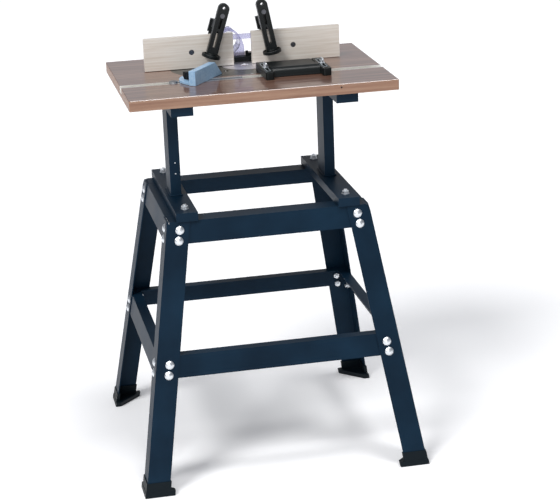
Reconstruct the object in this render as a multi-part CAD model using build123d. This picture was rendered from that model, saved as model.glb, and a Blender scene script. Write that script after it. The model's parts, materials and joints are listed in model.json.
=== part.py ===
from build123d import *
import math
import os

os.makedirs("parts", exist_ok=True)

# A router table on a splayed steel stand.
# X runs along the fence, Y from the front to the back, Z up.
# The origin is on the floor, under the middle of the stand.

# Stand: four splayed angle-iron legs, joined by an upper and a lower ring of rails
STAND_TOP = 614.0
FLOOR_HALF_X = 333.5
FLOOR_HALF_Y = 312.0
TOP_HALF_X = 234.5
TOP_HALF_Y = 196.0
SHEET = 2.5
LEG_FLANGE = 53.0
LEG_CORNER_CUT = 10.0
RAIL_HEIGHT = 51.0
UPPER_FLANGE = 48.0
LOWER_FLANGE = 25.0
LOWER_RAIL_TOP = 315.0
RAIL_END_GAP = 1.0

# Carriage bolts that hold the rails to the legs
BOLT_HEAD_D = 20.0
BOLT_HEAD_HEIGHT = 4.5
BOLT_D = 8.0
BOLT_HOLE_D = 8.6
BOLT_LENGTH = 17.0
BOLT_FROM_CORNER = 31.0
BOLT_DROPS = (19.0, 42.5)
NUT_FLATS = 13.0
NUT_HEIGHT = 6.5
WASHER_D = 18.0
WASHER_THICK = 1.6

# Feet: black caps on the ends of the legs
FOOT_BASE_HEIGHT = 12.0
FOOT_COLLAR_HEIGHT = 33.0
FOOT_FLOOR = 4.0
FOOT_WALL = 3.2
FOOT_PAD = 66.0

# Riser: two posts between a lower and an upper pair of bearers, each a channel with closed ends.
# The left post stands forward of the middle and the right one behind it.
BEARER_WIDTH = 50.0
BEARER_HEIGHT = 20.0
LOWER_BEARER_LENGTH = 400.0
UPPER_BEARER_LENGTH = 420.0
UPPER_BEARER_HEIGHT = 22.0
BEARER_X = (-188.0, 187.0)
BEARER_BOLT_Y = 165.0
POST_WIDTH = 25.0
POST_DEPTH = 70.0
POST_X = (-189.5, 189.0)
POST_Y = (-17.0, 31.0)
POST_WALL = 2.5

# Tabletop
TABLE_WIDTH = 610.0
TABLE_DEPTH = 440.0
TABLE_THICK = 24.0
TABLE_TOP = 905.0
TABLE_UNDERSIDE = TABLE_TOP - TABLE_THICK
CUTTER_X = 5.0
CUTTER_Y = 65.0
PLATE_LENGTH = 350.0
PLATE_WIDTH = 214.0
PLATE_THICK = 6.0
PLATE_LEDGE = 14.0
RING_R = 53.0
RING_THICK = 3.0
RING_BORE_R = 10.0
RING_LEDGE = 6.0
ROUTER_BOLT_R = 75.0
ROUTER_BOLT_HOLE_R = 3.3

# Mitre track, let into the top along its whole width
TRACK_Y = -68.0
TRACK_HALF = 13.5
SLOT_HALF = 9.6
TEE_HALF = 12.0
TRACK_DEPTH = 14.0
TEE_ROOF = 8.8
TEE_FLOOR = 12.2

# Fence
FACE_FRONT = 66.0
FACE_THICK = 12.0
FENCE_MID_X = 3.5
FACE_LENGTH = 212.0
FACE_HEIGHT = 76.5
FACE_GAP = 44.0
FACE_CLEARANCE = 1.0
FACE_BOLT_X = 121.5
FACE_BOLT_Z = TABLE_TOP + 38.5
BASE_FRONT = FACE_FRONT + FACE_THICK + 0.5
BASE_LIFT = 0.2
UPRIGHT_THICK = 5.5
UPRIGHT_INNER = 28.0
UPRIGHT_OUTER = 200.0
UPRIGHT_TOP = TABLE_TOP + 70.0
BASE_PLATE_THICK = 6.0
BAR_FRONT = 100.0
BAR_BACK = 124.0
BAR_HALF = 115.0
BAR_TOP = TABLE_TOP + 11.0
FENCE_KNOB_X = 168.0
FENCE_KNOB_Y = 135.0
FENCE_TRAVEL = 32.0
STUD_DEPTH = 19.0
PORT_X = -19.0
PORT_Z = TABLE_TOP + 44.0
PORT_OUTLINE = ((37.0, 1.0), (37.0, 32.0), (32.0, 48.0), (22.0, 65.0), (3.0, 82.0))
PORT_SCREW_X = 30.0
PORT_SCREW_Z = TABLE_TOP + 6.0
PORT_TUBE_R = 29.0
PORT_BORE_R = 26.0
PORT_BACK = 170.0
PORT_FLANGE = 6.0
GUARD_HALF = 38.0
GUARD_SCREW_X = 32.5
GUARD_LOW = TABLE_TOP + 58.0
GUARD_HIGH = TABLE_TOP + 70.0
GUARD_THICK = 3.0

# Hold-downs: a slotted arm in front of the fence, clamped to a bracket that reaches over it
HOLD_FOOT_X = {"left": -76.0, "right": 69.0}
HOLD_LEAN = {"left": 17.8, "right": -10.5}
HOLD_Y = 43.5
HOLD_FOOT_Z = TABLE_TOP + 32.0
HOLD_PIVOT_RISE = 14.0
ARM_WIDTH = 26.0
ARM_THICK = 13.0
ARM_LENGTH = 126.0
ARM_SLOT = 5.8
ARM_BOLT_R = 2.5
ARM_SLOTS = ((20.0, 60.0), (66.0, 102.0))
ARM_BOLT_S = 97.0
ARM_EYE_S = 115.0
HOLD_FOOT_R = 22.0
BRACKET_WIDTH = 22.0
BRACKET_HEAD_WIDTH = 30.0
BRACKET_THICK = 7.0

# Side pressure guide, clamped in the mitre track in front of the fence
GUIDE_ARM_X = (30.0, 162.5)
GUIDE_ARM_WIDTH = 20.0
GUIDE_ARM_FRONT = -126.0
GUIDE_ARM_BACK = -4.0
GUIDE_ARM_HEIGHT = 18.0
GUIDE_LIFT = 0.3
GUIDE_SLOT = (-118.0, -28.0)
GUIDE_SLOT_WIDTH = 7.0
GUIDE_BAR_FRONT = -100.0
GUIDE_BAR_BACK = -62.0
GUIDE_BAR_HEIGHT = 21.0
GUIDE_DECK_BACK = 4.0
GUIDE_DECK_HEIGHT = 15.5
GUIDE_PAD_BACK = 12.0

# Mitre gauge
GAUGE_X = -112.0
GAUGE_BAR_LEFT = -193.0
GAUGE_BAR_RIGHT = -25.0
GAUGE_BAR_HALF = 9.3
GAUGE_BAR_HEIGHT = 8.4
GAUGE_END_HEAD = 4.2
GAUGE_KNOB_R = 9.0
GAUGE_TURN = -36.0
GAUGE_DISC_R = 58.0
GAUGE_DISC_THICK = 6.0
GAUGE_HEAD_FRONT = 9.0
GAUGE_HEAD_THICK = 16.5
GAUGE_HEAD_NEAR = -63.0
GAUGE_HEAD_FAR = 74.0
GAUGE_HEAD_FAR_TOP = 40.0
GAUGE_HEAD_HEIGHT = 33.5
GAUGE_LOCK_R = 40.0
GAUGE_SLOT_WIDTH = 7.0
GAUGE_SWING = 60.0

SIDES = {"left": -1, "right": 1}
ENDS = {"front": -1, "rear": 1}


def save(name, *solids):
    shape = solids[0] if len(solids) == 1 else Compound(children=list(solids))
    export_step(shape, f"parts/{name}.step")


def block(x0, x1, y0, y1, z0, z1):
    return Pos((x0 + x1) / 2, (y0 + y1) / 2, (z0 + z1) / 2) * Box(x1 - x0, y1 - y0, z1 - z0)


def rod(origin, direction, radius, length):
    """A cylinder that starts at origin and runs along direction."""
    plane = Plane(origin=origin, z_dir=direction)
    return extrude(plane * Circle(radius), amount=length)


def hexagon(origin, direction, flats, length):
    plane = Plane(origin=origin, z_dir=direction)
    return extrude(plane * RegularPolygon(flats / 2, 6, major_radius=False), amount=length)


def prismX(points, x0, x1):
    """A prism along X from an outline of (y, z) points."""
    face = Plane.YZ.offset(x0) * make_face(Polyline(*points, close=True))
    return extrude(face, amount=x1 - x0)


# ---------------------------------------------------------------- stand

LEAN_X = (FLOOR_HALF_X - TOP_HALF_X) / STAND_TOP
LEAN_Y = (FLOOR_HALF_Y - TOP_HALF_Y) / STAND_TOP
TILT_X = math.atan(LEAN_X)
TILT_Y = math.atan(LEAN_Y)
WALL_X = SHEET / math.cos(TILT_X)
WALL_Y = SHEET / math.cos(TILT_Y)


def halfX(z):
    return FLOOR_HALF_X - LEAN_X * z


def halfY(z):
    return FLOOR_HALF_Y - LEAN_Y * z


def core(insetX, insetY, z0, z1):
    """The splayed space inside the leg faces, drawn in by the two insets."""
    low = Plane.XY.offset(z0) * Rectangle(2 * (halfX(z0) - insetX), 2 * (halfY(z0) - insetY))
    high = Plane.XY.offset(z1) * Rectangle(2 * (halfX(z1) - insetX), 2 * (halfY(z1) - insetY))
    return loft([low, high], ruled=True)


def alongLeg(points, sx, sy, z0, z1):
    """A splayed prism: points are (inwards along X, inwards along Y) from the leg's outer corner."""
    corners = [(sx * (halfX(z0) - u), sy * (halfY(z0) - v)) for u, v in points]
    face = Plane.XY.offset(z0) * make_face(Polyline(*corners, close=True))
    rise = z1 - z0
    way = Vector(-sx * LEAN_X * rise, -sy * LEAN_Y * rise, rise)
    return Solid.extrude(face.faces()[0], way)


def angleOutline(flange, wallX, wallY, out=0.0):
    return [(-out, -out), (flange, -out), (flange, wallY), (wallX, wallY), (wallX, flange), (-out, flange)]


def flangeBolts(sx, sy, railTop):
    """Places and outward directions of the four carriage bolts at one leg and one ring."""
    places = []
    for drop in BOLT_DROPS:
        z = railTop - drop
        frontFace = (sx * (halfX(z) - BOLT_FROM_CORNER), sy * halfY(z), z)
        sideFace = (sx * halfX(z), sy * (halfY(z) - BOLT_FROM_CORNER), z)
        places.append((frontFace, (0, sy * math.cos(TILT_Y), math.sin(TILT_Y))))
        places.append((sideFace, (sx * math.cos(TILT_X), 0, math.sin(TILT_X))))
    return places


def shifted(place, direction, distance):
    return tuple(p + distance * d for p, d in zip(place, direction))


def boltHoles(shape, sx, sy, railTop):
    for place, out in flangeBolts(sx, sy, railTop):
        start = shifted(place, out, 4.0)
        back = tuple(-d for d in out)
        shape = shape - rod(start, back, BOLT_HOLE_D / 2, 14.0)
    return shape


def leg(sx, sy):
    outline = angleOutline(LEG_FLANGE, WALL_X, WALL_Y)
    shape = alongLeg(outline, sx, sy, FOOT_FLOOR, STAND_TOP)
    cornerNormal = Vector(sx, sy, 1.0)
    cutCentre = Vector(sx * TOP_HALF_X, sy * TOP_HALF_Y, STAND_TOP - LEG_CORNER_CUT)
    cutPlane = Plane(origin=cutCentre, z_dir=cornerNormal)
    shape = shape - cutPlane * Pos(0, 0, 30) * Box(90, 90, 60)
    for railTop in (STAND_TOP, LOWER_RAIL_TOP):
        shape = boltHoles(shape, sx, sy, railTop)
    return shape


def railFlange(railTop):
    return UPPER_FLANGE if railTop == STAND_TOP else LOWER_FLANGE


def crossRail(sy, railTop):
    """A front or rear rail: a face behind the leg flanges and a flange that turns inwards on top."""
    inner = halfY(railTop) - WALL_Y - railFlange(railTop)
    low = railTop - RAIL_HEIGHT
    under = railTop - SHEET
    outline = [
        (halfY(low) - WALL_Y, low),
        (halfY(railTop) - WALL_Y, railTop),
        (inner, railTop),
        (inner, under),
        (halfY(under) - 2 * WALL_Y, under),
        (halfY(low) - 2 * WALL_Y, low),
    ]
    outline = [(sy * y, z) for y, z in outline]
    bar = prismX(outline, -FLOOR_HALF_X, FLOOR_HALF_X)
    endInset = 2 * WALL_X + RAIL_END_GAP
    bar = bar & core(endInset, -20.0, low - 5, railTop + 5)
    for sx in SIDES.values():
        bar = boltHoles(bar, sx, sy, railTop)
    if railTop == STAND_TOP:
        for x in BEARER_X:
            bar = bar - rod((x, sy * BEARER_BOLT_Y, railTop - 10), (0, 0, 1), BOLT_HOLE_D / 2, 20)
    return bar


def sideRail(sx, railTop):
    """A side rail: its flange is notched at both ends, clear of the front and rear rails."""
    inner = halfX(railTop) - WALL_X - railFlange(railTop)
    low = railTop - RAIL_HEIGHT
    under = railTop - SHEET
    outline = [
        (halfX(low) - WALL_X, low),
        (halfX(railTop) - WALL_X, railTop),
        (inner, railTop),
        (inner, under),
        (halfX(under) - 2 * WALL_X, under),
        (halfX(low) - 2 * WALL_X, low),
    ]
    outline = [(sx * x, z) for x, z in outline]
    face = Plane.XZ.offset(FLOOR_HALF_Y) * make_face(Polyline(*outline, close=True))
    bar = extrude(face, amount=-2 * FLOOR_HALF_Y)
    bar = bar & core(-20.0, WALL_Y + RAIL_END_GAP, low - 5, railTop + 5)
    notchStart = halfY(railTop) - WALL_Y - railFlange(railTop) - RAIL_END_GAP
    notchOuter = halfX(under) - 2 * WALL_X
    for sy in ENDS.values():
        xs = sorted((0.0, sx * notchOuter))
        ys = sorted((sy * notchStart, sy * FLOOR_HALF_Y))
        bar = bar - block(xs[0], xs[1], ys[0], ys[1], under - 1, railTop + 1)
        bar = boltHoles(bar, sx, sy, railTop)
    return bar


def carriageBolt():
    """A bolt that points down, with the flat under its domed head at the origin."""
    headR = BOLT_HEAD_D / 2
    domeR = (headR ** 2 + BOLT_HEAD_HEIGHT ** 2) / (2 * BOLT_HEAD_HEIGHT)
    dome = Pos(0, 0, BOLT_HEAD_HEIGHT - domeR) * Sphere(domeR)
    head = dome & block(-headR, headR, -headR, headR, 0, BOLT_HEAD_HEIGHT + 1)
    return head + rod((0, 0, -BOLT_LENGTH), (0, 0, 1), BOLT_D / 2, BOLT_LENGTH)


def boltNut():
    """The nut of that bolt, where it lies behind the leg and the rail."""
    top = -2 * SHEET
    nut = hexagon((0, 0, top - NUT_HEIGHT), (0, 0, 1), NUT_FLATS, NUT_HEIGHT)
    return nut - rod((0, 0, top - NUT_HEIGHT - 1), (0, 0, 1), BOLT_D / 2 + 0.05, NUT_HEIGHT + 2)


def foot(sx, sy):
    """A cap with a triangular pad on the floor and a collar around the end of the leg."""
    out = FOOT_WALL
    pad = [(-out, -out), (FOOT_PAD, -out), (FOOT_PAD, 10), (10, FOOT_PAD), (-out, FOOT_PAD)]
    base = alongLeg(pad, sx, sy, 0, FOOT_BASE_HEIGHT)
    wallX = WALL_X + FOOT_WALL
    wallY = WALL_Y + FOOT_WALL
    collarFlange = LEG_FLANGE + FOOT_WALL - 1
    sleeve = angleOutline(collarFlange, wallX, wallY, FOOT_WALL - 1)
    collar = alongLeg(sleeve, sx, sy, FOOT_BASE_HEIGHT, FOOT_COLLAR_HEIGHT)
    socket = alongLeg(angleOutline(LEG_FLANGE, WALL_X, WALL_Y), sx, sy, FOOT_FLOOR, FOOT_COLLAR_HEIGHT + 1)
    return (base + collar) - socket


def makeStand():
    bolts = []
    nuts = []
    feet = []
    bolt = carriageBolt()
    nut = boltNut()
    rings = {"upper": STAND_TOP, "lower": LOWER_RAIL_TOP}
    for end, sy in ENDS.items():
        for side, sx in SIDES.items():
            save(f"leg_{end}_{side}", leg(sx, sy))
            feet.append(foot(sx, sy))
            for railTop in rings.values():
                for place, out in flangeBolts(sx, sy, railTop):
                    seat = Plane(origin=place, z_dir=out)
                    bolts.append(seat * bolt)
                    nuts.append(seat * nut)
    save("feet", *feet)
    save("frame_bolts", *bolts)
    save("frame_nuts", *nuts)
    for ring, railTop in rings.items():
        for end, sy in ENDS.items():
            save(f"{ring}_rail_{end}", crossRail(sy, railTop))
        for side, sx in SIDES.items():
            save(f"{ring}_rail_{side}", sideRail(sx, railTop))


# ---------------------------------------------------------------- riser

LOWER_BEARER_TOP = STAND_TOP + BEARER_HEIGHT
UPPER_BEARER_LOW = TABLE_UNDERSIDE - UPPER_BEARER_HEIGHT
TOP_SCREW_Y = (-190.0, -115.0, 115.0, 190.0)
TOP_SCREW_DEPTH = 16.0


def channel(x, length, low, height):
    """An inverted channel with closed ends: a web on top and walls that point down all round."""
    half = BEARER_WIDTH / 2
    outer = block(x - half, x + half, -length / 2, length / 2, low, low + height)
    reach = length / 2 - SHEET
    inner = block(x - half + SHEET, x + half - SHEET, -reach, reach, low - 1, low + height - SHEET)
    return outer - inner


def makeRiser():
    boltSet = []
    for side, x, xPost, yPost in zip(SIDES, BEARER_X, POST_X, POST_Y):
        lower = channel(x, LOWER_BEARER_LENGTH, STAND_TOP, BEARER_HEIGHT)
        for sy in ENDS.values():
            y = sy * BEARER_BOLT_Y
            lower = lower - rod((x, y, STAND_TOP), (0, 0, 1), BOLT_HOLE_D / 2, 30)
            headLow = STAND_TOP - SHEET - 5.3
            head = hexagon((x, y, headLow), (0, 0, 1), NUT_FLATS, 5.3)
            boltSet.append(head + rod((x, y, headLow), (0, 0, 1), BOLT_D / 2, 39))
            washer = rod((x, y, LOWER_BEARER_TOP), (0, 0, 1), WASHER_D / 2, WASHER_THICK)
            nut = hexagon((x, y, LOWER_BEARER_TOP + WASHER_THICK), (0, 0, 1), NUT_FLATS, NUT_HEIGHT)
            bore = rod((x, y, LOWER_BEARER_TOP - 1), (0, 0, 1), BOLT_D / 2 + 0.05, 20)
            boltSet.append((washer + nut) - bore)
        save(f"lower_bearer_{side}", lower)
        upper = channel(x, UPPER_BEARER_LENGTH, UPPER_BEARER_LOW, UPPER_BEARER_HEIGHT)
        # a welded plate closes the channel over the post
        plateHalf = BEARER_WIDTH / 2
        plateTop = UPPER_BEARER_LOW + SHEET
        front = yPost - POST_DEPTH / 2
        back = yPost + POST_DEPTH / 2
        upper = upper + block(x - plateHalf, x + plateHalf, front - 8, back + 8, UPPER_BEARER_LOW, plateTop)
        for y in TOP_SCREW_Y:
            upper = upper - rod((x, y, UPPER_BEARER_LOW), (0, 0, 1), 2.8, 40)
        save(f"upper_bearer_{side}", upper)
        half = POST_WIDTH / 2
        post = block(xPost - half, xPost + half, front, back, LOWER_BEARER_TOP, UPPER_BEARER_LOW)
        bore = block(
            xPost - half + POST_WALL,
            xPost + half - POST_WALL,
            front + POST_WALL,
            back - POST_WALL,
            LOWER_BEARER_TOP - 1,
            UPPER_BEARER_LOW + 1,
        )
        save(f"post_{side}", post - bore)
    save("bearer_bolts", *boltSet)


# ---------------------------------------------------------------- tabletop

def stadium(length, width, z0, z1):
    face = Plane.XY.offset(z0) * Pos(CUTTER_X, CUTTER_Y) * SlotOverall(length, width)
    return extrude(face, amount=z1 - z0)


def plateScrewSpots():
    """Six screws just inside the rim: two on the long sides and two near each round end."""
    straight = (PLATE_LENGTH - PLATE_WIDTH) / 2
    reach = PLATE_WIDTH / 2 - PLATE_LEDGE / 2
    spots = [(CUTTER_X, CUTTER_Y + reach), (CUTTER_X, CUTTER_Y - reach)]
    for sx in SIDES.values():
        for turn in (-40, 40):
            a = math.radians(turn)
            spots.append((CUTTER_X + sx * (straight + reach * math.cos(a)), CUTTER_Y + reach * math.sin(a)))
    return spots


def makeTop():
    halfW = TABLE_WIDTH / 2
    halfD = TABLE_DEPTH / 2
    top = block(-halfW, halfW, -halfD, halfD, TABLE_UNDERSIDE, TABLE_TOP)
    vertical = top.edges().filter_by(Axis.Z)
    top = fillet(vertical, 3.0)
    top = chamfer(top.faces().sort_by(Axis.Z)[-1].edges(), 1.0)
    grooveFront = TRACK_Y - TRACK_HALF
    grooveBack = TRACK_Y + TRACK_HALF
    top = top - block(-halfW - 1, halfW + 1, grooveFront, grooveBack, TABLE_TOP - TRACK_DEPTH, TABLE_TOP + 1)
    top = top - stadium(PLATE_LENGTH + 1, PLATE_WIDTH + 1, TABLE_TOP - PLATE_THICK, TABLE_TOP + 1)
    ledge = 2 * PLATE_LEDGE
    top = top - stadium(PLATE_LENGTH - ledge, PLATE_WIDTH - ledge, TABLE_UNDERSIDE - 1, TABLE_TOP)
    screws = []
    for x in BEARER_X:
        for y in TOP_SCREW_Y:
            top = top - rod((x, y, TABLE_UNDERSIDE - 1), (0, 0, 1), 2.5, TOP_SCREW_DEPTH + 2)
            headLow = TABLE_UNDERSIDE - SHEET - 3
            head = rod((x, y, headLow), (0, 0, 1), 5.0, 3)
            screws.append(head + rod((x, y, headLow), (0, 0, 1), 2.4, 3 + SHEET + TOP_SCREW_DEPTH))
    for x, y in plateScrewSpots():
        top = top - rod((x, y, TABLE_TOP - PLATE_THICK - 13), (0, 0, 1), 2.1, 14)
    for sx in SIDES.values():
        studHole = (FENCE_MID_X + sx * FENCE_KNOB_X, FENCE_KNOB_Y, TABLE_TOP - STUD_DEPTH)
        top = top - rod(studHole, (0, 0, 1), 4.1, STUD_DEPTH + 1)
    # a shallow peg hole in the front edge
    top = top - rod((172.0, -halfD - 1, TABLE_TOP - 8), (0, 1, 0), 2.0, 13)
    save("tabletop", top)

    outline = [
        (-TRACK_HALF, -TRACK_DEPTH),
        (-TRACK_HALF, 0),
        (-SLOT_HALF, 0),
        (-SLOT_HALF, -TEE_ROOF),
        (-TEE_HALF, -TEE_ROOF),
        (-TEE_HALF, -TEE_FLOOR),
        (TEE_HALF, -TEE_FLOOR),
        (TEE_HALF, -TEE_ROOF),
        (SLOT_HALF, -TEE_ROOF),
        (SLOT_HALF, 0),
        (TRACK_HALF, 0),
        (TRACK_HALF, -TRACK_DEPTH),
    ]
    outline = [(TRACK_Y + y, TABLE_TOP + z) for y, z in outline]
    save("mitre_track", prismX(outline, -halfW, halfW))

    plate = stadium(PLATE_LENGTH, PLATE_WIDTH, TABLE_TOP - PLATE_THICK, TABLE_TOP)
    centre = (CUTTER_X, CUTTER_Y)
    plate = plate - rod((*centre, TABLE_TOP - RING_THICK), (0, 0, 1), RING_R + 0.2, 10)
    plate = plate - rod((*centre, TABLE_TOP - 10), (0, 0, 1), RING_R - RING_LEDGE, 20)
    for i in range(4):
        a = math.radians(45 + 90 * i)
        spot = (CUTTER_X + ROUTER_BOLT_R * math.cos(a), CUTTER_Y + ROUTER_BOLT_R * math.sin(a))
        plate = plate - rod((*spot, TABLE_TOP - 10), (0, 0, 1), ROUTER_BOLT_HOLE_R, 20)
        plate = plate - Pos(*spot, TABLE_TOP - 1.5) * Cone(ROUTER_BOLT_HOLE_R, ROUTER_BOLT_HOLE_R + 3, 3)
    for x, y in plateScrewSpots():
        plate = plate - rod((x, y, TABLE_TOP - 10), (0, 0, 1), 2.2, 20)
        plate = plate - rod((x, y, TABLE_TOP - 2.5), (0, 0, 1), 4.2, 5)
        head = rod((x, y, TABLE_TOP - 2.5), (0, 0, 1), 4.0, 2.2)
        shank = rod((x, y, TABLE_TOP - PLATE_THICK - 12), (0, 0, 1), 2.0, PLATE_THICK + 10)
        screws.append(head + shank)
    save("insert_plate", plate)
    save("wood_screws", *screws)
    ring = rod((*centre, TABLE_TOP - RING_THICK), (0, 0, 1), RING_R, RING_THICK)
    ring = ring - rod((*centre, TABLE_TOP - 10), (0, 0, 1), RING_BORE_R, 20)
    save("insert_ring", ring)


# ---------------------------------------------------------------- fence

FACE_SLOT_OUT = 25.0
FACE_SLOT_IN = 12.0


def holdPivot(side):
    lean = math.radians(HOLD_LEAN[side])
    rise = HOLD_PIVOT_RISE
    return (HOLD_FOOT_X[side] + rise * math.sin(lean), HOLD_FOOT_Z + rise * math.cos(lean))


def starKnob(x, y, low, radius, height, lobes):
    knob = rod((x, y, low), (0, 0, 1), radius, height)
    for i in range(lobes):
        a = 2 * math.pi * i / lobes
        reach = radius * 1.22
        dentSpot = (x + reach * math.cos(a), y + reach * math.sin(a), low - 1)
        knob = knob - rod(dentSpot, (0, 0, 1), radius * 0.42, height + 2)
    return knob


def makeFence():
    low = TABLE_TOP + BASE_LIFT
    plateTop = low + BASE_PLATE_THICK
    mid = FENCE_MID_X
    base = block(mid - BAR_HALF, mid + BAR_HALF, BAR_FRONT, BAR_BACK, low, BAR_TOP)
    # a lug with a round boss stands on the bar beside the port
    base = base + block(21.0, 33.0, BAR_BACK - 9, BAR_BACK - 1, low, BAR_TOP + 6)
    base = base + rod((22.5, BAR_BACK - 5, low), (0, 0, 1), 3.5, BAR_TOP + 11.0 - low)
    for sx in SIDES.values():
        xs = sorted((mid + sx * UPRIGHT_INNER, mid + sx * UPRIGHT_OUTER))
        base = base + block(xs[0], xs[1], BASE_FRONT, BAR_BACK, low, plateTop)
        base = base + block(xs[0], xs[1], BASE_FRONT, BASE_FRONT + UPRIGHT_THICK, low, UPRIGHT_TOP)
        ears = sorted((mid + sx * (FENCE_KNOB_X - 28), mid + sx * (FENCE_KNOB_X + 28)))
        base = base + block(ears[0], ears[1], BAR_BACK - 2, FENCE_KNOB_Y + 15, low, plateTop)
        behind = BASE_FRONT + UPRIGHT_THICK
        for x, height in ((38.0, 42.0), (98.0, 58.0)):
            rib = [(behind - 1, low + 1), (behind - 1, low + height), (behind + 2, low + height)]
            rib.append((BAR_BACK - 4, low + 7))
            rib.append((BAR_BACK - 4, low + 1))
            base = base + prismX(rib, mid + sx * x - 2.5, mid + sx * x + 2.5)
        slotBack = FENCE_KNOB_Y + 0.5
        slotFront = FENCE_KNOB_Y - FENCE_TRAVEL - 0.5
        slot = Plane.XY.offset(low - 1) * Pos(mid + sx * FENCE_KNOB_X, (slotBack + slotFront) / 2)
        slot = slot * Rot(0, 0, 90) * SlotCenterToCenter(slotBack - slotFront, 9.0)
        base = base - extrude(slot, amount=10)
        slotMid = mid + sx * (FACE_BOLT_X + (FACE_SLOT_OUT - FACE_SLOT_IN) / 2)
        slot = Plane.XZ.offset(-BASE_FRONT + 1) * Pos(slotMid, FACE_BOLT_Z)
        slot = slot * SlotCenterToCenter(FACE_SLOT_OUT + FACE_SLOT_IN + 1, 7.0)
        base = base - extrude(slot, amount=-(UPRIGHT_THICK + 2))
    for side in SIDES:
        px, pz = holdPivot(side)
        base = base - rod((px, BASE_FRONT - 1, pz), (0, 1, 0), 3.2, UPRIGHT_THICK + 2)
        # a shallow pocket in the front takes the head of the pivot bolt
        base = base - rod((px, BASE_FRONT - 1, pz), (0, 1, 0), 6.2, 4.0)
    guardScrews = (mid - GUARD_SCREW_X, mid + GUARD_SCREW_X)
    portScrews = (PORT_X - PORT_SCREW_X, PORT_X + PORT_SCREW_X)
    for x in guardScrews:
        screwZ = (GUARD_LOW + GUARD_HIGH) / 2
        base = base - rod((x, BASE_FRONT - 1, screwZ), (0, 1, 0), 1.7, UPRIGHT_THICK + 2)
    for x in portScrews:
        base = base - rod((x, BAR_BACK - 10, PORT_SCREW_Z), (0, 1, 0), 2.0, 12)
    save("fence_base", base)

    studs = []
    for side, sx in SIDES.items():
        inner = mid + sx * FACE_GAP / 2
        outer = mid + sx * (FACE_GAP / 2 + FACE_LENGTH)
        xs = sorted((inner, outer))
        bottom = TABLE_TOP + FACE_CLEARANCE
        face = block(xs[0], xs[1], FACE_FRONT, FACE_FRONT + FACE_THICK, bottom, bottom + FACE_HEIGHT)
        x = mid + sx * FACE_BOLT_X
        face = face - rod((x, FACE_FRONT - 1, FACE_BOLT_Z), (0, 1, 0), 3.1, FACE_THICK + 2)
        face = face - rod((x, FACE_FRONT - 1, FACE_BOLT_Z), (0, 1, 0), 6.3, 4.6)
        save(f"fence_face_{side}", face)
        headStart = (x, FACE_FRONT + 0.4, FACE_BOLT_Z)
        head = rod(headStart, (0, 1, 0), 6.0, 3.2)
        socket = hexagon((x, FACE_FRONT - 0.6, FACE_BOLT_Z), (0, 1, 0), 4.0, 3.0)
        shank = rod(headStart, (0, 1, 0), 3.0, 30)
        nutStart = BASE_FRONT + UPRIGHT_THICK + 0.3
        washer = rod((x, nutStart, FACE_BOLT_Z), (0, 1, 0), 7.0, 1.2)
        nut = hexagon((x, nutStart + 1.2, FACE_BOLT_Z), (0, 1, 0), 10.0, 5.0)
        nutBore = rod((x, nutStart - 1, FACE_BOLT_Z), (0, 1, 0), 3.05, 10)
        save(f"face_bolt_{side}", (head + shank) - socket, (washer + nut) - nutBore)

        kx = mid + sx * FENCE_KNOB_X
        studs.append(rod((kx, FENCE_KNOB_Y, TABLE_TOP - STUD_DEPTH), (0, 0, 1), 4.0, STUD_DEPTH + 18))
        knobLow = plateTop + 0.4
        knob = starKnob(kx, FENCE_KNOB_Y, knobLow, 14.0, 18.0, 5)
        knob = knob - rod((kx, FENCE_KNOB_Y, knobLow - 1), (0, 0, 1), 4.05, 13)
        save(f"fence_knob_{side}", knob)

    save("fence_studs", *studs)

    backStart = BAR_BACK + 0.3
    # the flange is a shield with sloping shoulders
    shield = [(PORT_X + x, TABLE_TOP + z) for x, z in PORT_OUTLINE]
    shield = shield + [(PORT_X - x, TABLE_TOP + z) for x, z in reversed(PORT_OUTLINE)]
    flange = Plane.XZ.offset(-backStart) * make_face(Polyline(*shield, close=True))
    port = extrude(flange, amount=-PORT_FLANGE)
    port = port + rod((PORT_X, backStart, PORT_Z), (0, 1, 0), PORT_TUBE_R, PORT_BACK - backStart)
    port = port - rod((PORT_X, BAR_BACK, PORT_Z), (0, 1, 0), PORT_BORE_R, PORT_BACK)
    screws = []
    for x in portScrews:
        port = port - rod((x, BAR_BACK, PORT_SCREW_Z), (0, 1, 0), 2.0, 12)
        head = rod((x, backStart + PORT_FLANGE, PORT_SCREW_Z), (0, 1, 0), 3.5, 2.4)
        screws.append(head + rod((x, BAR_BACK - 8, PORT_SCREW_Z), (0, 1, 0), 1.9, 16))
    save("dust_port", port)

    guardFront = BASE_FRONT + UPRIGHT_THICK
    guardBack = guardFront + GUARD_THICK
    guard = block(mid - GUARD_HALF, mid + GUARD_HALF, guardFront, guardBack, GUARD_LOW, GUARD_HIGH)
    guardMid = (GUARD_LOW + GUARD_HIGH) / 2
    for x in guardScrews:
        guard = guard - rod((x, guardFront - 1, guardMid), (0, 1, 0), 1.7, GUARD_THICK + 2)
        head = rod((x, guardFront + GUARD_THICK, guardMid), (0, 1, 0), 3.2, 2.2)
        screws.append(head + rod((x, guardFront - 4, guardMid), (0, 1, 0), 1.6, 8))
    save("bit_guard", guard)
    save("fence_screws", *screws)


# ---------------------------------------------------------------- hold-downs


def leaning(side, shape):
    """Puts a shape drawn upright, with the foot's centre at the origin, at its lean on the fence."""
    place = Pos(HOLD_FOOT_X[side], 0, HOLD_FOOT_Z)
    return place * Rot(0, HOLD_LEAN[side], 0) * shape


def slotAlong(z0, z1, width, y0, y1):
    outline = Rot(0, 0, 90) * SlotCenterToCenter(z1 - z0 - width, width)
    face = Plane.XZ.offset(-y0) * Pos(0, (z0 + z1) / 2) * outline
    return extrude(face, amount=-(y1 - y0))


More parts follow.
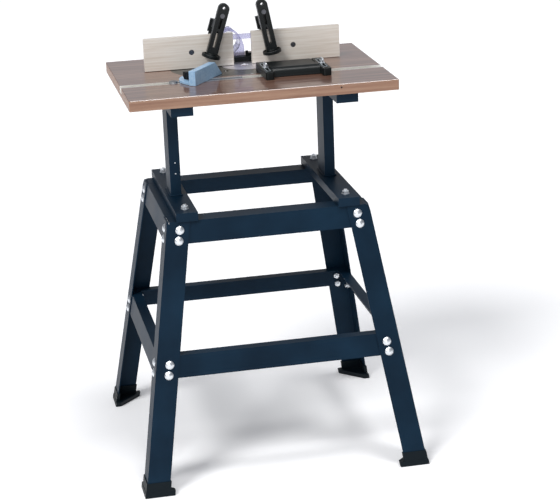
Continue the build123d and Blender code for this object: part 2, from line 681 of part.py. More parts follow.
def makeHoldDown(side):
    front = HOLD_Y - ARM_THICK / 2
    back = HOLD_Y + ARM_THICK / 2
    half = ARM_WIDTH / 2
    arm = block(-half, half, front, back, 6.0, ARM_LENGTH - half)
    arm = arm + rod((0, front, ARM_LENGTH - half), (0, 1, 0), half, ARM_THICK)
    for z0, z1 in ARM_SLOTS:
        arm = arm - slotAlong(z0, z1, ARM_SLOT, front - 1, back + 1)
    arm = arm - rod((0, front - 1, ARM_EYE_S), (0, 1, 0), 3.5, ARM_THICK + 2)
    # long flutes beside the slots leave a raised rib at each edge
    for sx in SIDES.values():
        xs = sorted((sx * (half - 2.5), sx * (half - 6.5)))
        arm = arm - block(xs[0], xs[1], front - 1, front + 1.5, 14, 88)
    save(f"holddown_arm_{side}", leaning(side, arm))

    # a dished foot: a thick rim, a sunk top and a hub under the arm
    dish = rod((0, HOLD_Y, -5), (0, 0, 1), HOLD_FOOT_R, 8.5)
    dish = fillet(dish.edges(), 2.0)
    dish = dish - rod((0, HOLD_Y, 0.5), (0, 0, 1), HOLD_FOOT_R - 3.5, 5)
    dish = dish + rod((0, HOLD_Y, 0), (0, 0, 1), 13.0, 6.0)
    dish = dish - rod((0, HOLD_Y, -6), (0, 0, 1), HOLD_FOOT_R - 4, 3)
    save(f"holddown_foot_{side}", leaning(side, dish))

    pivotS = HOLD_PIVOT_RISE
    bridgeLow = pivotS + 48
    bridgeHigh = pivotS + 66
    headLow = pivotS + 35
    rearFront = BASE_FRONT + UPRIGHT_THICK + 0.5
    rearBack = rearFront + BRACKET_THICK
    nearBack = back + 0.4 + BRACKET_THICK
    halfB = BRACKET_WIDTH / 2
    bracket = block(-halfB, halfB, rearFront, rearBack, pivotS, bridgeHigh)
    bracket = bracket + rod((0, rearFront, pivotS), (0, 1, 0), halfB, BRACKET_THICK)
    halfHead = BRACKET_HEAD_WIDTH / 2
    bracket = bracket + block(-halfHead, halfHead, rearFront, rearBack, headLow, bridgeHigh)
    bracket = bracket + block(-halfB, halfB, back + 0.4, rearBack, bridgeLow, bridgeHigh)
    bracket = bracket + block(-halfB, halfB, back + 0.4, nearBack, bridgeLow, ARM_BOLT_S + 9)
    bracket = bracket - rod((0, rearFront - 1, pivotS), (0, 1, 0), 3.1, BRACKET_THICK + 2)
    bracket = bracket - rod((0, back - 1, ARM_BOLT_S), (0, 1, 0), ARM_BOLT_R + 0.1, 20)
    save(f"holddown_bracket_{side}", leaning(side, bracket))

    pivotHead = BASE_FRONT + 0.4
    pivot = rod((0, pivotHead, pivotS), (0, 1, 0), 6.0, 2.4)
    pivot = pivot + rod((0, pivotHead, pivotS), (0, 1, 0), 3.0, rearBack - pivotHead + 7)
    nut = hexagon((0, rearBack + 0.3, pivotS), (0, 1, 0), 10.0, 5.0)
    nut = nut - rod((0, rearBack, pivotS), (0, 1, 0), 3.05, 8)

    headBack = front - 0.3
    bolt = rod((0, headBack - 3.4, ARM_BOLT_S), (0, 1, 0), 5.5, 3.4)
    bolt = bolt + rod((0, headBack, ARM_BOLT_S), (0, 1, 0), ARM_BOLT_R, nearBack - headBack + 9)
    save(f"holddown_bolt_{side}", leaning(side, bolt))
    knob = rod((0, nearBack + 0.4, ARM_BOLT_S), (0, 1, 0), 10.0, 11.0)
    for i in range(6):
        a = math.radians(60 * i)
        dent = rod((12.2 * math.cos(a), nearBack, ARM_BOLT_S + 12.2 * math.sin(a)), (0, 1, 0), 4.0, 13)
        knob = knob - dent
    knob = knob - rod((0, nearBack, ARM_BOLT_S), (0, 1, 0), ARM_BOLT_R + 0.05, 10)
    save(f"holddown_knob_{side}", leaning(side, knob))
    return [leaning(side, pivot), leaning(side, nut)]


# ---------------------------------------------------------------- side pressure guide


def makeGuide():
    bolts = []
    low = TABLE_TOP + GUIDE_LIFT
    half = GUIDE_ARM_WIDTH / 2
    for side, x in zip(SIDES, GUIDE_ARM_X):
        armTop = TABLE_TOP + GUIDE_ARM_HEIGHT
        arm = block(x - half, x + half, GUIDE_ARM_FRONT, GUIDE_ARM_BACK, low, armTop)
        frontEdges = arm.edges().filter_by(Axis.Z).sort_by(Axis.Y)[:2]
        arm = fillet(frontEdges, 5.0)
        mid = (GUIDE_SLOT[0] + GUIDE_SLOT[1]) / 2
        span = GUIDE_SLOT[1] - GUIDE_SLOT[0] - GUIDE_SLOT_WIDTH
        outline = Rot(0, 0, 90) * SlotCenterToCenter(span, GUIDE_SLOT_WIDTH)
        slot = Plane.XY.offset(low - 1) * Pos(x, mid) * outline
        arm = arm - extrude(slot, amount=GUIDE_ARM_HEIGHT + 5)
        save(f"guide_arm_{side}", arm)

        boltLow = TABLE_TOP - TEE_FLOOR + 0.2
        bolt = block(x - 7, x + 7, TRACK_Y - 11, TRACK_Y + 11, boltLow, boltLow + 3.0)
        bolt = bolt + rod((x, TRACK_Y, boltLow), (0, 0, 1), 3.0, 30 + TEE_FLOOR)
        bolts.append(bolt)
        wingLow = armTop + 0.4
        wing = rod((x, TRACK_Y, wingLow), (0, 0, 1), 7.5, 1.4)
        wing = wing + rod((x, TRACK_Y, wingLow), (0, 0, 1), 5.5, 7)
        ears = block(x - 1.5, x + 1.5, TRACK_Y - 13, TRACK_Y + 13, wingLow + 5.2, wingLow + 12)
        ears = fillet(ears.edges().filter_by(Axis.X), 3.0)
        wing = wing + ears
        wing = wing - rod((x, TRACK_Y, wingLow - 1), (0, 0, 1), 3.05, 20)
        save(f"guide_wing_nut_{side}", wing)

    save("guide_bolts", *bolts)

    x0 = GUIDE_ARM_X[0] + half
    x1 = GUIDE_ARM_X[1] - half
    barTop = TABLE_TOP + GUIDE_BAR_HEIGHT
    noseR = 16.0
    profile = Line((GUIDE_BAR_FRONT, low), (GUIDE_BAR_FRONT + 1.5, barTop - noseR))
    nose = JernArc(profile @ 1, (0, 1), noseR, -90)
    across = Line(nose @ 1, (GUIDE_BAR_BACK, barTop))
    down = Line(across @ 1, (GUIDE_BAR_BACK, low))
    back = Line(down @ 1, (GUIDE_BAR_FRONT, low))
    face = Plane.YZ.offset(x0) * make_face([profile, nose, across, down, back])
    bar = extrude(face, amount=x1 - x0)
    deckTop = TABLE_TOP + GUIDE_DECK_HEIGHT
    deckOutline = [
        (GUIDE_BAR_BACK, low),
        (GUIDE_BAR_BACK, barTop),
        (GUIDE_BAR_BACK + 6, deckTop),
        (GUIDE_DECK_BACK, deckTop),
        (GUIDE_DECK_BACK, low),
        (GUIDE_DECK_BACK - 4, low),
        (GUIDE_DECK_BACK - 4, deckTop - 5),
        (GUIDE_BAR_BACK + 4, deckTop - 5),
        (GUIDE_BAR_BACK + 4, low),
    ]
    deck = prismX(deckOutline, x0, x1)
    save("guide_bridge", bar + deck)
    pad = block(x0 + 2, x1 - 2, GUIDE_DECK_BACK, GUIDE_PAD_BACK, low, deckTop - 1)
    pad = fillet(pad.edges().filter_by(Axis.X).sort_by(Axis.Y)[-2:], 3.0)
    save("guide_pad", pad)


# ---------------------------------------------------------------- mitre gauge


def makeGauge():
    barTop = TABLE_TOP - 0.3
    barLow = barTop - GAUGE_BAR_HEIGHT
    half = GAUGE_BAR_HALF
    bar = block(GAUGE_BAR_LEFT + half, GAUGE_BAR_RIGHT, TRACK_Y - half, TRACK_Y + half, barLow, barTop)
    lockX = GAUGE_X - GAUGE_LOCK_R
    for x in (GAUGE_X, lockX):
        bar = bar - rod((x, TRACK_Y, barLow - 1), (0, 0, 1), 3.0, 20)
    # the bar's end carries a round head above the track and a tee disc below, on one screw
    discX = GAUGE_BAR_LEFT + half
    bar = bar + rod((discX, TRACK_Y, barLow), (0, 0, 1), half, GAUGE_BAR_HEIGHT + GAUGE_END_HEAD)
    bar = bar - rod((discX, TRACK_Y, barLow - 1), (0, 0, 1), 2.1, 20)
    disc = rod((discX, TRACK_Y, TABLE_TOP - TEE_FLOOR + 0.2), (0, 0, 1), TEE_HALF - 0.5, 3.0)
    disc = disc + rod((discX, TRACK_Y, TABLE_TOP - TEE_FLOOR + 0.2), (0, 0, 1), 2.0, 14.5)
    save("mitre_bar", bar, disc)

    # the head is drawn square to the bar, facing +X, and then turned
    discLow = TABLE_TOP + 0.3
    discTop = discLow + GAUGE_DISC_THICK
    semicircle = Circle(GAUGE_DISC_R) & Pos(-100 + GAUGE_HEAD_FRONT - 1, 0) * Rectangle(200, 200)
    head = extrude(Plane.XY.offset(discLow) * semicircle, amount=GAUGE_DISC_THICK)
    backX = GAUGE_HEAD_FRONT - GAUGE_HEAD_THICK
    fenceOutline = [
        (GAUGE_HEAD_NEAR, discLow),
        (GAUGE_HEAD_NEAR, discLow + GAUGE_HEAD_HEIGHT),
        (GAUGE_HEAD_FAR_TOP, discLow + GAUGE_HEAD_HEIGHT),
        (GAUGE_HEAD_FAR, discLow),
    ]
    plate = prismX(fenceOutline, backX, GAUGE_HEAD_FRONT)
    head = head + plate
    # a blind hole from below turns on the pivot pin
    head = head - rod((0, 0, discLow - 1), (0, 0, 1), 4.05, 17)
    reach = GAUGE_SWING
    arcSlot = Plane.XY.offset(discLow - 1)
    start = 180 - reach
    path = CenterArc((0, 0), GAUGE_LOCK_R, start, 2 * reach)
    inner = GAUGE_LOCK_R - GAUGE_SLOT_WIDTH / 2
    outer = GAUGE_LOCK_R + GAUGE_SLOT_WIDTH / 2
    sector = Circle(outer) - Circle(inner)
    rays = [(0, 0)]
    for i in range(9):
        a = math.radians(start + 2 * reach * i / 8)
        rays.append((90 * math.cos(a), 90 * math.sin(a)))
    sector = sector & make_face(Polyline(*rays, close=True))
    for end in (path @ 0, path @ 1):
        sector = sector + Pos(end.X, end.Y) * Circle(GAUGE_SLOT_WIDTH / 2)
    head = head - extrude(arcSlot * sector, amount=10)
    turned = Pos(GAUGE_X, TRACK_Y, 0) * Rot(0, 0, GAUGE_TURN) * head
    save("mitre_head", turned)

    pivot = rod((GAUGE_X, TRACK_Y, barLow), (0, 0, 1), 2.95, 1 + GAUGE_BAR_HEIGHT)
    pivot = pivot + rod((GAUGE_X, TRACK_Y, barTop), (0, 0, 1), 4.0, 15)
    stud = rod((lockX, TRACK_Y, barLow), (0, 0, 1), 2.95, discTop - barLow + 14)
    save("mitre_pins", pivot, stud)
    knobLow = discTop + 0.4
    knob = rod((lockX, TRACK_Y, knobLow), (0, 0, 1), GAUGE_KNOB_R - 2, 4)
    knob = knob + rod((lockX, TRACK_Y, knobLow + 4), (0, 0, 1), GAUGE_KNOB_R, 13)
    dentReach = GAUGE_KNOB_R + 1.4
    for i in range(8):
        a = math.radians(45 * i)
        dentSpot = (lockX + dentReach * math.cos(a), TRACK_Y + dentReach * math.sin(a), knobLow + 4)
        knob = knob - rod(dentSpot, (0, 0, 1), 2.6, 15)
    knob = knob - rod((lockX, TRACK_Y, knobLow - 1), (0, 0, 1), 3.0, 16)
    save("mitre_knob", knob)


makeStand()
makeRiser()
makeTop()
makeFence()
pivots = []
for holdSide in SIDES:
    pivots.extend(makeHoldDown(holdSide))
save("holddown_pivots", *pivots)
makeGuide()
makeGauge()
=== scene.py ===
import json
import math
import bpy
from mathutils import Matrix, Vector


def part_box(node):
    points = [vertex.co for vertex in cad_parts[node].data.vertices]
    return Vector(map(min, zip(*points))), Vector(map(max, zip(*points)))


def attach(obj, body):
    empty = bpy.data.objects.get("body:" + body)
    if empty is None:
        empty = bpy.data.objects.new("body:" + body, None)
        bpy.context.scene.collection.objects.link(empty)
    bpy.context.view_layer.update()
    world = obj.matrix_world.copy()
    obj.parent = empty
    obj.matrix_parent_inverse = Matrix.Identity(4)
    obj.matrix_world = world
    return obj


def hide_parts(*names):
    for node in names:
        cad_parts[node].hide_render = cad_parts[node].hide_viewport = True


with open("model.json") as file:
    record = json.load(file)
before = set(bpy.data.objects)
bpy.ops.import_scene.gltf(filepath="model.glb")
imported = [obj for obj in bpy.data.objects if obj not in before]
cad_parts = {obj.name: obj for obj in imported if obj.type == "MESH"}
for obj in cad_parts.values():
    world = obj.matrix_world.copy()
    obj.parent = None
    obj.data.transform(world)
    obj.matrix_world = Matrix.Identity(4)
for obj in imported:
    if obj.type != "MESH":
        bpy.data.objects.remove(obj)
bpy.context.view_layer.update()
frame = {"nodes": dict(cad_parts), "record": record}

mm = 0.001
bodyOfNode = {}
for bodyName, nodeNames in frame["record"]["behaviour"]["bodies"].items():
    for nodeName in nodeNames:
        bodyOfNode[nodeName] = bodyName
slotOfNode = {}
for subpart in frame["record"]["subparts"]:
    slotOfNode[subpart["node"]] = subpart["material_slot"]

camera = {
    "place": (-0.737, -4.047, 1.790),
    "yaw": 11.148,           # degrees to the right of +Y
    "pitch": -17.938,
    "roll": -2.265,
    "lens": 115.8,
    "sensor": 36.0,
}


def makeCamera(c):
    yaw, pitch, roll = (math.radians(c[k]) for k in ("yaw", "pitch", "roll"))
    ahead = Vector((math.sin(yaw) * math.cos(pitch), math.cos(yaw) * math.cos(pitch), math.sin(pitch)))
    level = Vector((math.cos(yaw), -math.sin(yaw), 0))
    up = level.cross(ahead)
    side = level * math.cos(roll) + up * math.sin(roll)
    top = -level * math.sin(roll) + up * math.cos(roll)
    turn = Matrix((side, top, -ahead)).transposed()
    bpy.ops.object.camera_add(location=c["place"], rotation=turn.to_euler())
    cam = bpy.context.object
    cam.name = "camera"
    cam.data.lens = c["lens"]
    cam.data.sensor_width = c["sensor"]
    cam.data.clip_end = 60
    bpy.context.scene.camera = cam


makeCamera(camera)


def colour(hexText):
    # screen colour to linear
    values = [int(hexText[i:i + 2], 16) / 255 for i in (1, 3, 5)]
    linear = [v / 12.92 if v <= 0.04045 else ((v + 0.055) / 1.055) ** 2.4 for v in values]
    return (*linear, 1.0)


def addNode(tree, kind, inputs=None, **settings):
    node = tree.nodes.new(kind)
    for key, value in settings.items():
        setattr(node, key, value)
    for key, value in (inputs or {}).items():
        if isinstance(value, bpy.types.NodeSocket):
            tree.links.new(value, node.inputs[key])
        else:
            node.inputs[key].default_value = value
    return node


def startMaterial(name, hexText, roughness, metallic=0.0, **sockets):
    mat = bpy.data.materials.new(name)
    mat.use_nodes = True
    tree = mat.node_tree
    shader = tree.nodes["Principled BSDF"]
    shader.inputs["Base Color"].default_value = colour(hexText)
    shader.inputs["Roughness"].default_value = roughness
    shader.inputs["Metallic"].default_value = metallic
    for key, value in sockets.items():
        shader.inputs[key.replace("_", " ")].default_value = value
    return mat, tree, shader


def objectCoords(tree, scale=(1, 1, 1), turn=(0, 0, 0), move=(0, 0, 0)):
    coords = addNode(tree, "ShaderNodeTexCoord")
    return addNode(tree, "ShaderNodeMapping", {"Vector": coords.outputs["Object"], "Scale": scale,
                                               "Rotation": turn, "Location": move}).outputs["Vector"]


def perMm(size):
    # cells of this many mm in a metre
    return 1000.0 / size


def addBump(tree, shader, height, strength, distanceMm):
    bump = addNode(tree, "ShaderNodeBump", {"Height": height, "Strength": strength, "Distance": distanceMm * mm})
    tree.links.new(bump.outputs["Normal"], shader.inputs["Normal"])


def varyColour(tree, shader, factor, stops):
    ramp = addNode(tree, "ShaderNodeValToRGB", {"Fac": factor})
    ramp.color_ramp.elements[0].position, ramp.color_ramp.elements[0].color = stops[0][0], colour(stops[0][1])
    ramp.color_ramp.elements[1].position, ramp.color_ramp.elements[1].color = stops[-1][0], colour(stops[-1][1])
    for position, hexText in stops[1:-1]:
        ramp.color_ramp.elements.new(position).color = colour(hexText)
    tree.links.new(ramp.outputs["Color"], shader.inputs["Base Color"])
    return ramp


def varyRoughness(tree, shader, factor, low, high):
    spread = addNode(tree, "ShaderNodeMapRange", {"Value": factor, "To Min": low, "To Max": high})
    tree.links.new(spread.outputs["Result"], shader.inputs["Roughness"])


def makePaintedSteel():
    # stoving enamel on pressed sheet steel: blue-black satin, a faint orange peel
    mat, tree, shader = startMaterial("stovedEnamelBlueBlack", "#0e2233", 0.44, Specular_IOR_Level=0.09)
    peel = addNode(tree, "ShaderNodeTexNoise", {"Vector": objectCoords(tree), "Scale": perMm(2.5), "Detail": 2.0})
    drift = addNode(tree, "ShaderNodeTexNoise", {"Vector": objectCoords(tree), "Scale": perMm(120), "Detail": 3.0})
    varyColour(tree, shader, drift.outputs["Fac"], [(0.3, "#0b1d2c"), (0.7, "#11283a")])
    varyRoughness(tree, shader, drift.outputs["Fac"], 0.36, 0.5)
    addBump(tree, shader, peel.outputs["Fac"], 0.25, 0.15)
    return mat


def makeZinc():
    # bright zinc plate on steel: cool white metal with slight clouding
    roughness = 0.36
    mat, tree, shader = startMaterial("brightZincPlate", "#e6eaee", roughness, metallic=1.0)
    cloud = addNode(tree, "ShaderNodeTexNoise", {"Vector": objectCoords(tree), "Scale": perMm(4), "Detail": 3.0})
    varyRoughness(tree, shader, cloud.outputs["Fac"], roughness - 0.06, roughness + 0.1)
    return mat


def makeBlackenedSteel():
    # chemically blackened screw steel: near black with a dull glint
    mat, tree, shader = startMaterial("blackenedSteel", "#66676c", 0.34, metallic=1.0)
    cloud = addNode(tree, "ShaderNodeTexNoise", {"Vector": objectCoords(tree), "Scale": perMm(3), "Detail": 3.0})
    varyRoughness(tree, shader, cloud.outputs["Fac"], 0.26, 0.44)
    return mat


def makeFootRubber():
    # injection-moulded black polythene: matte, faintly grained
    mat, tree, shader = startMaterial("mouldedPolythene", "#0b151b", 0.5, Specular_IOR_Level=0.15)
    grain = addNode(tree, "ShaderNodeTexNoise", {"Vector": objectCoords(tree), "Scale": perMm(1.2), "Detail": 2.0})
    addBump(tree, shader, grain.outputs["Fac"], 0.3, 0.2)
    return mat


def makeWalnut(name, dark, mid, light, roughness, coat):
    # walnut-pattern laminate: grain runs along the table, under a clear gloss
    mat, tree, shader = startMaterial(name, mid, roughness, Coat_Weight=coat, Coat_Roughness=0.05)
    grainLength, grainWidth = 260, 9
    along = objectCoords(tree, (perMm(grainLength), perMm(grainWidth), perMm(grainWidth)))
    wavesPerMetre = (2.5, 11, 11)
    warp = addNode(tree, "ShaderNodeTexNoise", {"Vector": objectCoords(tree, wavesPerMetre), "Scale": 1.0,
                                                "Detail": 3.0})
    mixed = addNode(tree, "ShaderNodeVectorMath", {0: along, 1: warp.outputs["Color"]}, operation="ADD")
    grain = addNode(tree, "ShaderNodeTexNoise", {"Vector": mixed.outputs[0], "Scale": 1.0, "Detail": 6.0,
                                                 "Roughness": 0.62})
    poreLength, poreWidth = 14, 0.9
    poreCoords = objectCoords(tree, (perMm(poreLength), perMm(poreWidth), perMm(poreWidth)))
    pores = addNode(tree, "ShaderNodeTexNoise", {"Vector": poreCoords, "Scale": 1.0, "Detail": 2.0})
    blend = addNode(tree, "ShaderNodeMath", {0: pores.outputs["Fac"], 1: -0.08, 2: grain.outputs["Fac"]},
                    operation="MULTIPLY_ADD")
    varyColour(tree, shader, blend.outputs[0], [(0.28, dark), (0.44, mid), (0.62, light)])
    addBump(tree, shader, pores.outputs["Fac"], 0.12, 0.1)
    return mat


def makeBrushed(name, hexText, roughness, stretch):
    # drawn or turned metal: fine lines along the way it was worked
    mat, tree, shader = startMaterial(name, hexText, roughness, metallic=1.0)
    lines = addNode(tree, "ShaderNodeTexNoise", {"Vector": objectCoords(tree, stretch), "Scale": 1.0,
                                                 "Detail": 3.0})
    varyRoughness(tree, shader, lines.outputs["Fac"], roughness - 0.08, roughness + 0.12)
    addBump(tree, shader, lines.outputs["Fac"], 0.2, 0.05)
    return mat


def makePhenolic():
    # cast phenolic board: dark olive grey, satin, speckled by its filler
    mat, tree, shader = startMaterial("phenolicBoard", "#26261f", 0.3, Coat_Weight=0.3, Coat_Roughness=0.12)
    speck = addNode(tree, "ShaderNodeTexNoise", {"Vector": objectCoords(tree), "Scale": perMm(1.5), "Detail": 4.0})
    varyColour(tree, shader, speck.outputs["Fac"], [(0.35, "#201f1a"), (0.7, "#2c2c25")])
    addBump(tree, shader, speck.outputs["Fac"], 0.15, 0.08)
    return mat


def makeCastBlack():
    # die-cast alloy under black paint: soft sheen, slightly pebbled
    mat, tree, shader = startMaterial("blackPaintedCasting", "#0b0f11", 0.45, Specular_IOR_Level=0.25)
    pebble = addNode(tree, "ShaderNodeTexNoise", {"Vector": objectCoords(tree), "Scale": perMm(1.8),
                                                  "Detail": 3.0})
    addBump(tree, shader, pebble.outputs["Fac"], 0.35, 0.25)
    return mat


def makePaleWood():
    # birch-faced board under matt lacquer: cream, quiet grain along the fence
    stops = ((0.3, "#cfc5b8"), (0.5, "#dad2c8"), (0.7, "#e2ddd5"))
    mat, tree, shader = startMaterial("lacqueredBirch", stops[1][1], 0.45, Coat_Weight=0.15, Coat_Roughness=0.3)
    grain = addNode(tree, "ShaderNodeTexNoise",
                    {"Vector": objectCoords(tree, (perMm(120), perMm(5), perMm(5))), "Scale": 1.0, "Detail": 5.0})
    varyColour(tree, shader, grain.outputs["Fac"], stops)
    addBump(tree, shader, grain.outputs["Fac"], 0.1, 0.1)
    return mat


def makeClear():
    # clear polycarbonate with a lilac cast
    mat, tree, shader = startMaterial("lilacPolycarbonate", "#d3d2ee", 0.12, IOR=1.45, Transmission_Weight=0.8)
    haze = addNode(tree, "ShaderNodeTexNoise", {"Vector": objectCoords(tree), "Scale": perMm(9), "Detail": 2.0})
    varyRoughness(tree, shader, haze.outputs["Fac"], 0.08, 0.2)
    return mat


def makeGaugeBlue():
    # die-cast alloy under pale blue hammered enamel
    mat, tree, shader = startMaterial("paleBlueEnamel", "#97bbd9", 0.35, Coat_Weight=0.3, Coat_Roughness=0.2)
    cell = addNode(tree, "ShaderNodeTexNoise", {"Vector": objectCoords(tree), "Scale": perMm(5), "Detail": 3.0})
    varyColour(tree, shader, cell.outputs["Fac"], [(0.3, "#8ab0d2"), (0.7, "#a6c6e0")])
    addBump(tree, shader, cell.outputs["Fac"], 0.2, 0.2)
    return mat


def makeBlackPlastic():
    # glass-filled nylon: green-black, satin, fine moulded grain
    mat, tree, shader = startMaterial("glassFilledNylon", "#080f10", 0.34, Specular_IOR_Level=0.35)
    grain = addNode(tree, "ShaderNodeTexNoise", {"Vector": objectCoords(tree), "Scale": perMm(0.9), "Detail": 2.0})
    varyRoughness(tree, shader, grain.outputs["Fac"], 0.3, 0.45)
    addBump(tree, shader, grain.outputs["Fac"], 0.25, 0.12)
    return mat


finishes = {
    "painted_steel": makePaintedSteel(),
    "foot_plastic": makeFootRubber(),
    "zinc": makeZinc(),
    "black_steel": makeBlackenedSteel(),
    "walnut_top": makeWalnut("walnutLaminateTop", "#54392e", "#6e4e40", "#896857", 0.3, 0.7),
    "track_aluminium": makeBrushed("anodisedAluminium", "#f6f4ef", 0.45, (perMm(60), perMm(0.6), perMm(0.6))),
    "plate_plastic": makePhenolic(),
    "ring_steel": makeBrushed("polishedRingSteel", "#eceaf2", 0.36, (perMm(1), perMm(1), perMm(1))),
    "black_casting": makeCastBlack(),
    "pale_wood": makePaleWood(),
    "clear_lilac": makeClear(),
    "gauge_casting": makeGaugeBlue(),
    "bar_steel": makeBrushed("drawnBarSteel", "#9da1a7", 0.45, (perMm(40), perMm(0.5), perMm(0.5))),
    "black_plastic": makeBlackPlastic(),
}
edgeWood = makeWalnut("walnutEdgeBand", "#7c5946", "#8e6b56", "#9b7a64", 0.5, 0.1)
# nylon rims coloured pale grey as a painted highlight, standing in for the glints along their edges
rimPaintedHighlight = startMaterial("nylonRimPaintedHighlight", "#a9b2b8", 0.35)[0]
print("materials made")


def deselectAll():
    if bpy.context.object and bpy.context.object.mode != "OBJECT":
        bpy.ops.object.mode_set(mode="OBJECT")
    bpy.ops.object.select_all(action="DESELECT")


def activate(piece):
    deselectAll()
    piece.select_set(True)
    bpy.context.view_layer.objects.active = piece


def applyModifier(piece, kind, **settings):
    activate(piece)
    modifier = piece.modifiers.new(kind.title(), kind)
    for key, value in settings.items():
        setattr(modifier, key, value)
    bpy.ops.object.modifier_apply(modifier=modifier.name)


weld = {"grow": 3.0, "height": 3.5, "round": 1.6, "offset": 1.5}       # mm


def weldBead(name, nodeName, level):
    # a rounded bead round the post where it meets a bearer, at that level
    low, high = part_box(nodeName)
    grow, half = weld["grow"] * mm, weld["height"] * mm / 2
    bead = slab(name, (low[0] - grow, low[1] - grow, level - half), (high[0] + grow, high[1] + grow, level + half))
    applyModifier(bead, "BEVEL", width=weld["round"] * mm, segments=3)
    finishPiece(bead, bodyOfNode[nodeName], "painted_steel")


def stadium(name, middle, length, width, depth):
    # a round rod drawn out along Y, so that its ends are half round
    piece = roundRod(name, middle, width / 2, depth)
    for vertex in piece.data.vertices:
        vertex.co.y += math.copysign((length - width) / 2, vertex.co.y - middle[1])
    return piece


def stadiumRim(name, middle, length, width, rise, band):
    # a raised rim round a slot that runs along Y
    rim = stadium(name, middle, length + 2 * band, width + 2 * band, rise)
    hole = stadium("slotCutter", middle, length, width, rise * 3)
    hole.data.transform(Matrix.Translation((0, 0, -rise)))
    applyModifier(rim, "BOOLEAN", object=hole, operation="DIFFERENCE", solver="EXACT")
    bpy.data.objects.remove(hole)
    return rim


def placeInMesh(piece):
    activate(piece)
    bpy.ops.object.transform_apply(location=True, rotation=True, scale=True)


def finishPiece(piece, body, slot, mat=None, angle=35):
    placeInMesh(piece)
    bpy.ops.object.shade_smooth_by_angle(angle=math.radians(angle))
    piece.data.materials.clear()
    piece.data.materials.append(mat or finishes[slot])
    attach(piece, body)
    return piece


def softened(nodeName, width, segments=2, angle=30):
    # a copy of the CAD shape with its corners rolled, width in mm
    source = frame["nodes"][nodeName]
    piece = bpy.data.objects.new(f"{nodeName}_rolled", source.data.copy())
    bpy.context.collection.objects.link(piece)
    activate(piece)
    bpy.ops.object.mode_set(mode="EDIT")
    bpy.ops.mesh.select_all(action="SELECT")
    bpy.ops.mesh.remove_doubles(threshold=0.00001)
    bpy.ops.mesh.dissolve_limited(angle_limit=math.radians(1))
    bpy.ops.object.mode_set(mode="OBJECT")
    applyModifier(piece, "BEVEL", width=width * mm, segments=segments, limit_method="ANGLE",
                  angle_limit=math.radians(angle), harden_normals=False)
    finishPiece(piece, bodyOfNode[nodeName], slotOfNode[nodeName])
    applyModifier(piece, "WEIGHTED_NORMAL", keep_sharp=True)
    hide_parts(nodeName)
    return piece


for nodeName, node in frame["nodes"].items():
    slotName = slotOfNode[nodeName]
    for index in range(len(node.material_slots)):
        node.material_slots[index].material = finishes[slotName]

rolled = {       # corner radius in mm of each kind of part
    "leg_": 0.8, "_rail_": 0.8, "lower_bearer_": 0.8, "upper_bearer_": 0.8, "post_": 1.5, "feet": 1.2,
    "fence_face_": 0.8, "fence_base": 0.8, "mitre_head": 1.5, "holddown_arm_": 1.2, "holddown_foot_": 1.0,
    "holddown_bracket_": 1.0, "holddown_knob_": 1.0, "guide_arm_": 1.2, "guide_bridge": 1.0, "guide_pad": 0.8,
    "tabletop": 0.8, "guide_wing_nut_": 0.5, "fence_knob_": 1.2, "mitre_knob": 1.0, "mitre_bar": 0.4,
    "insert_ring": 0.4,
}
for nodeName in frame["nodes"]:
    for key, radius in rolled.items():
        if key in nodeName:
            softened(nodeName, radius)
            break
print("corners rolled")


def roundRod(name, place, radius, depth, axis="Z", sides=32):
    # place is the middle of the rod's first face
    turn = {"X": (0, math.pi / 2, 0), "Y": (-math.pi / 2, 0, 0), "Z": (0, 0, 0)}[axis]
    middle = Vector(place) + Vector({"X": (1, 0, 0), "Y": (0, 1, 0), "Z": (0, 0, 1)}[axis]) * depth / 2
    deselectAll()
    bpy.ops.mesh.primitive_cylinder_add(vertices=sides, radius=radius, depth=depth, location=middle, rotation=turn)
    piece = bpy.context.object
    piece.name = name
    placeInMesh(piece)
    return piece


def slab(name, low, high):
    low, high = Vector(low), Vector(high)
    deselectAll()
    bpy.ops.mesh.primitive_cube_add(size=1, location=(low + high) / 2, scale=high - low)
    piece = bpy.context.object
    piece.name = name
    placeInMesh(piece)
    return piece


# tabletop: an edge band round the laminate, on all that is nearly upright and close to the outside
edgeBand = {"steepest": 0.4, "depth": 4}       # normal's Z, mm
topPiece = bpy.data.objects["tabletop_rolled"]
topLow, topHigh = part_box("tabletop")
topPiece.data.materials.append(edgeWood)
for face in topPiece.data.polygons:
    middle = face.center
    inside = min(middle.x - topLow.x, topHigh.x - middle.x, middle.y - topLow.y, topHigh.y - middle.y)
    if abs(face.normal.z) < edgeBand["steepest"] and inside < edgeBand["depth"] * mm:
        face.material_index = 1

for nodeName in ("post_left", "post_right"):
    low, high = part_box(nodeName)
    weldBead(f"weldBeadBase_{nodeName}", nodeName, low[2] + weld["offset"] * mm)
    weldBead(f"weldBeadTop_{nodeName}", nodeName, high[2] - weld["offset"] * mm)

# two small rivets low on the left post's front face
rivets = {"heights": (53, 79), "radius": 1.6, "thick": 1.2, "proud": 0.6, "aside": 1, "round": 0.5}       # mm
postLow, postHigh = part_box("post_left")
rivetX = (postLow[0] + postHigh[0]) / 2 + rivets["aside"] * mm
rivetY = postLow[1] - rivets["proud"] * mm
for index, height in enumerate(rivets["heights"]):
    spot = (rivetX, rivetY, postLow[2] + height * mm)
    rivet = roundRod(f"postRivet_{index}", spot, rivets["radius"] * mm, rivets["thick"] * mm, "Y", 16)
    applyModifier(rivet, "BEVEL", width=rivets["round"] * mm, segments=2)
    finishPiece(rivet, bodyOfNode["post_left"], "zinc")

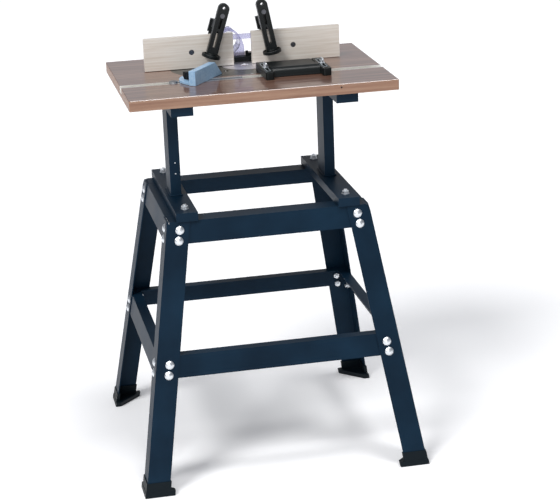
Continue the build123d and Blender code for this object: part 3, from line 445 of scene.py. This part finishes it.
# the side guide: moulded rims round the slots of its arms
slotRims = {"length": 88, "width": 7.5, "rise": 0.7, "band": 1.1, "sink": 0.1}       # mm
for side in ("left", "right"):
    low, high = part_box(f"guide_arm_{side}")
    middle = ((low[0] + high[0]) / 2, (low[1] + high[1]) / 2, high[2] - slotRims["sink"] * mm)
    sizes = [slotRims[key] * mm for key in ("length", "width", "rise", "band")]
    rim = stadiumRim(f"slotRim_{side}", middle, *sizes)
    # the rim's pale grey is a painted highlight
    finishPiece(rim, bodyOfNode[f"guide_arm_{side}"], "black_plastic", rimPaintedHighlight)
print("welds, rivets and slot rims made")

room = {
    "floorSize": 30.0,
    "key": {"towards": (0.75, 0.68, -1.0), "spread": 20, "power": 2.0},       # spread in degrees
    "top": {"towards": (-0.15, 0.23, -1.0), "spread": 14, "power": 1.0},
    "front": {"place": (-1.2, -4.6, 2.0), "size": 3.0, "power": 45},
    "back": {"place": (0.8, 4.2, 2.2), "size": 4.2, "power": 12},
    "skyStrength": 0.28,
    "floorGlow": 0.12,
}


def makeLight(name, settings, target=(0, 0, 0.6)):
    bpy.ops.object.light_add(type="AREA", location=settings["place"])
    lamp = bpy.context.object
    lamp.name = name
    lamp.data.shape = "DISK"
    lamp.data.size = settings["size"]
    lamp.data.energy = settings["power"]
    aim = Vector(target) - Vector(settings["place"])
    lamp.rotation_euler = aim.to_track_quat("-Z", "Y").to_euler()


def makeSun(name, settings):
    bpy.ops.object.light_add(type="SUN")
    lamp = bpy.context.object
    lamp.name = name
    lamp.data.angle = math.radians(settings["spread"])
    lamp.data.energy = settings["power"]
    lamp.rotation_euler = Vector(settings["towards"]).to_track_quat("-Z", "Y").to_euler()


deselectAll()
bpy.ops.mesh.primitive_plane_add(size=room["floorSize"])
floor = bpy.context.object
floor.name = "floor"
floorMat, _, floorShader = startMaterial("paleFloor", "#fafafb", 0.9, Specular_IOR_Level=0.1)
floorShader.inputs["Emission Color"].default_value = (1, 1, 1, 1)
floorShader.inputs["Emission Strength"].default_value = room["floorGlow"]
floor.data.materials.append(floorMat)
for lampName in ("key", "top"):
    makeSun(lampName, room[lampName])
for lampName in ("front", "back"):
    makeLight(lampName, room[lampName])
world = bpy.data.worlds.new("studio")
bpy.context.scene.world = world
world.use_nodes = True
world.node_tree.nodes["Background"].inputs["Color"].default_value = colour("#f2f6ff")
world.node_tree.nodes["Background"].inputs["Strength"].default_value = room["skyStrength"]
bpy.context.scene.view_settings.view_transform = "Standard"
print("room made")
